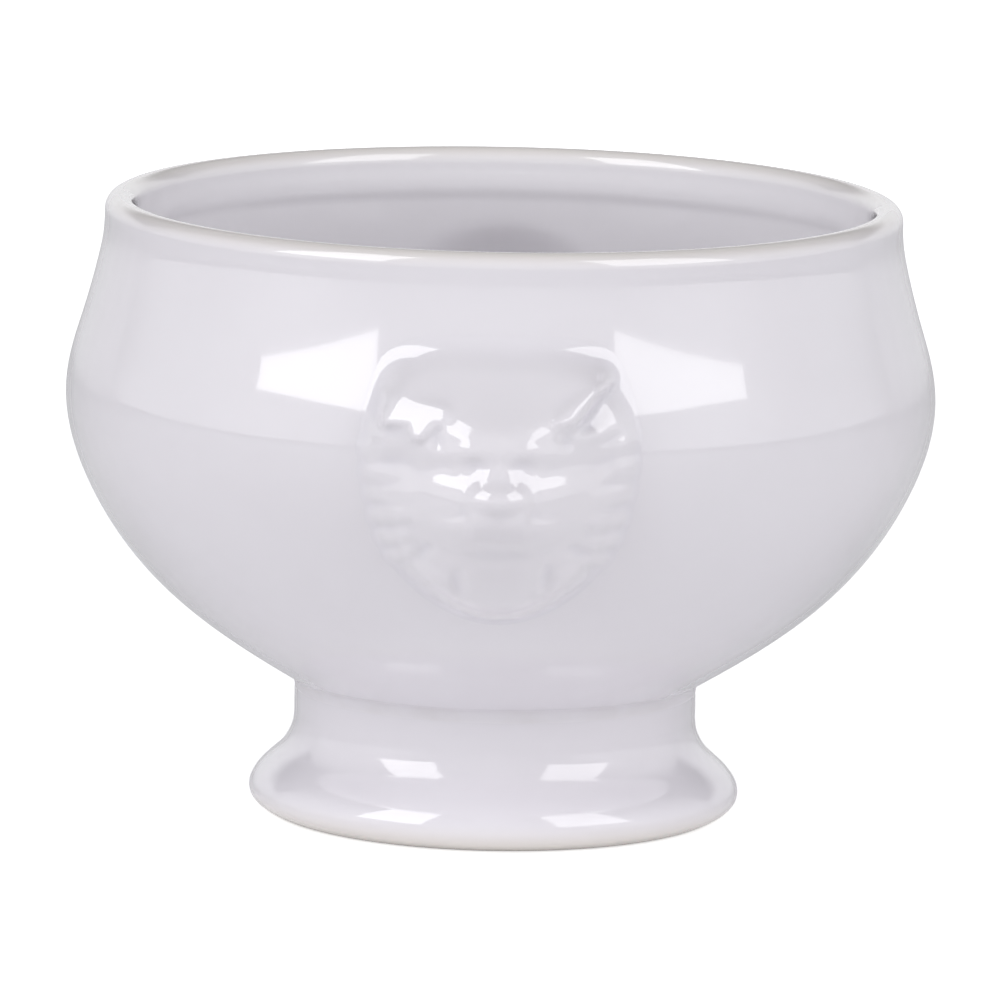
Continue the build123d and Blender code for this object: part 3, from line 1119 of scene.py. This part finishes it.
@dataclass
class Studio:
    """Pale sweep, two tall softboxes, a soft light all round and the camera. Lengths are in metres."""

    sweep_half: float = 2.2
    sweep_back: float = 1.6
    sweep_height: float = 2.2
    sweep_radius: float = 0.5
    sweep_segments: int = 16
    edge_near: float = 0.01
    paper_roughness: float = 0.8
    room_span: Point = (0.3, 0.9)
    dusk_span: Point = (0.5, 0.9)
    bounce_span: Point = (0.32, 0.12)
    backdrop_span: Point = (0.5, 1.0)
    box_distance: float = 1.1
    box_azimuths: Point = (-51.5, 50.3)
    box_span: Point = (18.5, 62.0)
    box_aim: float = 0.06
    box_widths: Point = (0.68, 0.757)
    box_radiances: Point = (2.8, 2.1)
    front_light: float = 0.757
    front_span: Point = (0.1, -1.0)
    side_light: float = 0.938
    side_span: Point = (0.5, 1.0)
    air: Colour = (1.0, 1.0, 1.02, 1.0)
    unlit: Colour = (0.0, 0.0, 0.0, 1.0)
    bounce: Colour = (0.083, 0.083, 0.083, 1.0)
    backdrop_glow: Colour = (0.15, 0.15, 0.15, 1.0)
    table: Colour = (0.88, 0.88, 0.89, 1.0)
    room: Colour = (0.86, 0.86, 0.87, 1.0)
    dusk: Colour = (0.2, 0.2, 0.21, 1.0)
    seen_table: Colour = (0.62, 0.62, 0.62, 1.0)
    seen_room: Colour = (0.95, 0.95, 0.95, 1.0)
    camera_distance: float = 1.677
    camera_height: float = 0.328
    aim: tuple[float, float, float] = (0.0002, 0.0, 0.0483)
    roll: float = 1.1
    lens: float = 398.2
    sensor: float = 36.0
    sight: float = 50.0

    def sweep(self) -> Piece:
        """Builds the floor that curves up into a backdrop.

        Returns:
            The sweep's object.
        """
        deselect_all()
        middle = (0, self.sweep_back - self.sweep_half, 0)
        bpy.ops.mesh.primitive_plane_add(size=2 * self.sweep_half, location=middle)
        floor = bpy.context.object
        floor.name = floor.data.name = "sweep"
        bpy.ops.object.transform_apply(location=True)
        bpy.ops.object.mode_set(mode="EDIT")
        bpy.ops.mesh.select_all(action="DESELECT")
        bpy.ops.object.mode_set(mode="OBJECT")
        self.select_fold(floor)
        bpy.ops.object.mode_set(mode="EDIT")
        bpy.ops.mesh.select_mode(type="EDGE")
        bpy.ops.mesh.extrude_region_move(TRANSFORM_OT_translate={"value": (0, 0, self.sweep_height)})
        bpy.ops.mesh.select_all(action="DESELECT")
        bpy.ops.object.mode_set(mode="OBJECT")
        self.select_fold(floor)
        bpy.ops.object.mode_set(mode="EDIT")
        bpy.ops.mesh.bevel(offset=self.sweep_radius, segments=self.sweep_segments, affect="EDGES")
        bpy.ops.object.mode_set(mode="OBJECT")
        floor.data.materials.append(self.paper())
        shade(floor, PAPER_EDGE)
        return floor

    def select_fold(self, floor: Piece) -> None:
        """Selects the edge along which the floor folds up.

        Args:
            floor: The sweep, outside edit mode.
        """
        for edge in floor.data.edges:
            ends = [floor.data.vertices[i].co for i in edge.vertices]
            back = min(end.y for end in ends) > self.sweep_back - self.edge_near
            edge.select = back and all(abs(end.z) < self.edge_near for end in ends)

    def paper(self) -> Material:
        """Makes the sweep's paper, which glows a little so that the crock stands in plain white. Its
        glow also lights the crock, from the floor near it and from the low back wall.

        Returns:
            The material.
        """
        material = bpy.data.materials.new("sweep_paper")
        material.use_nodes = True
        shader = material.node_tree.nodes["Principled BSDF"]
        shader.inputs["Roughness"].default_value = self.paper_roughness
        nodes = NodeSet(material.node_tree)
        place = nodes.add("ShaderNodeTexCoord").outputs["Object"]
        reach = nodes.add("ShaderNodeVectorMath", operation="LENGTH")
        nodes.join(place, reach.inputs[0])
        rise = nodes.add("ShaderNodeSeparateXYZ")
        nodes.join(place, rise.inputs["Vector"])
        away = nodes.ramped(reach.outputs["Value"], self.room_span)
        paper = nodes.mixed(away, self.table, self.room)
        paper = nodes.mixed(nodes.ramped(rise.outputs["Z"], self.dusk_span), paper, self.dusk)
        nodes.join(paper, shader.inputs["Base Color"])
        seen = nodes.add("ShaderNodeLightPath").outputs["Is Camera Ray"]
        glow = nodes.mixed(away, self.seen_table, self.seen_room)
        # glow that lights the crock: on the floor near it and low on the back wall
        near = nodes.ramped(reach.outputs["Value"], self.bounce_span)
        lit = nodes.mixed(near, self.unlit, self.bounce)
        under = nodes.ramped(rise.outputs["Z"], self.dusk_span[::-1])
        wall = nodes.mixed(under, self.unlit, self.backdrop_glow)
        lit = nodes.mixed(nodes.ramped(rise.outputs["Y"], self.backdrop_span), lit, wall)
        nodes.join(nodes.mixed(seen, lit, glow), shader.inputs["Emission Color"])
        shader.inputs["Emission Strength"].default_value = 1.0
        self.clear_from_behind(nodes, shader, seen)
        return material

    def clear_from_behind(self, nodes: NodeSet, shader: Node, seen: Socket) -> None:
        """Lets a camera that stands behind or under the sweep see through it.

        Args:
            nodes: The paper's nodes.
            shader: Shader of the paper's face.
            seen: Whether the camera sees the point itself.
        """
        output = next(node for node in nodes.tree.nodes if node.type == "OUTPUT_MATERIAL")
        back = nodes.add("ShaderNodeNewGeometry").outputs["Backfacing"]
        blend = nodes.add("ShaderNodeMixShader")
        nodes.join(nodes.counted("MULTIPLY", back, seen), blend.inputs["Fac"])
        nodes.join(shader.outputs["BSDF"], blend.inputs[1])
        nodes.join(nodes.add("ShaderNodeBsdfTransparent").outputs["BSDF"], blend.inputs[2])
        nodes.join(blend.outputs["Shader"], output.inputs["Surface"])

    def softbox(self, name: str, azimuth: float, width: float, radiance: float) -> None:
        """Stands an upright soft light beside the camera, facing the crock's axis.

        Args:
            name: Name of the light.
            azimuth: Angle to the right of the camera, in degrees.
            width: Width in metres.
            radiance: How bright the light's face is.
        """
        light = bpy.data.lights.new(name, "AREA")
        light.shape = "RECTANGLE"
        low, high = (self.box_distance * math.tan(math.radians(angle)) for angle in self.box_span)
        light.size, light.size_y = width, high - low
        light.energy = radiance * math.pi * width * (high - low)
        lamp = bpy.data.objects.new(name, light)
        bpy.context.scene.collection.objects.link(lamp)
        turn = math.radians(azimuth)
        out = Vector((math.sin(turn), -math.cos(turn), 0.0))
        lamp.location = out * self.box_distance + Vector((0, 0, self.box_aim + (low + high) / 2))
        lamp.rotation_euler = out.to_track_quat("Z", "Y").to_euler()

    def lights(self) -> None:
        """Hangs the softboxes and sets the plain surroundings."""
        names = ("softbox_left", "softbox_right")
        for values in zip(names, self.box_azimuths, self.box_widths, self.box_radiances):
            self.softbox(*values)
        world = bpy.context.scene.world or bpy.data.worlds.new("studio")
        bpy.context.scene.world = world
        world.use_nodes = True
        background = world.node_tree.nodes["Background"]
        background.inputs["Color"].default_value = self.air
        nodes = NodeSet(world.node_tree)
        toward = nodes.add("ShaderNodeSeparateXYZ")
        nodes.join(nodes.add("ShaderNodeTexCoord").outputs["Generated"], toward.inputs["Vector"])
        aside = nodes.add("ShaderNodeMath", operation="ABSOLUTE")
        nodes.join(toward.outputs["X"], aside.inputs[0])
        ahead = nodes.ramped(toward.outputs["Y"], self.front_span, self.front_light)
        beside = nodes.ramped(aside.outputs["Value"], self.side_span, self.side_light)
        nodes.join(nodes.counted("ADD", ahead, beside), background.inputs["Strength"])
        bpy.context.scene.view_settings.view_transform = "Standard"

    def camera(self) -> None:
        """Sets the camera at the photo's angle."""
        data = bpy.data.cameras.new("photo_camera")
        data.lens = self.lens
        data.sensor_width = self.sensor
        data.clip_end = self.sight
        eye = bpy.data.objects.new("photo_camera", data)
        bpy.context.scene.collection.objects.link(eye)
        eye.location = (0.0, -self.camera_distance, self.camera_height)
        look = Vector(self.aim) - eye.location
        rotation = look.to_track_quat("-Z", "Y")
        eye.rotation_euler = rotation.to_euler()
        eye.rotation_euler.rotate_axis("Z", math.radians(self.roll))
        bpy.context.scene.camera = eye


def dress(piece: Piece, material: Material, node: str) -> None:
    """Gives a piece its material and its place in the frame.

    Args:
        piece: The new piece.
        material: Its finish.
        node: The CAD node that it stands for.
    """
    piece.data.materials.clear()
    piece.data.materials.append(material)
    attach(piece, "root")
    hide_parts(node)
    log.info("%s: %d faces", piece.name, len(piece.data.polygons))


def main() -> None:
    """Builds the pieces in order, dresses them and sets the studio."""
    logging.basicConfig(level=logging.INFO, format="%(name)s %(message)s")
    group = fired_surface()
    bowl_glaze = PorcelainGlaze("bowl_glaze").material(group)
    foot_glaze = PorcelainGlaze("foot_glaze").material(group)
    head_glaze = PorcelainGlaze("head_glaze").material(group)
    slip = FiredSlip().material(group)
    bowl = Bowl()
    dress(bowl.build(), bowl_glaze, "bowl")
    dress(PedestalFoot().build(), foot_glaze, "pedestal_foot")
    dress(SlipRing().build(), slip, "foot_slip_ring")
    head = LionHead(bowl)
    for side in Side:
        dress(head.build(side), head_glaze, f"{side.name.lower()}_lion_head")
    studio = Studio()
    studio.sweep()
    studio.lights()
    studio.camera()


if __name__ == "__main__":
    main()
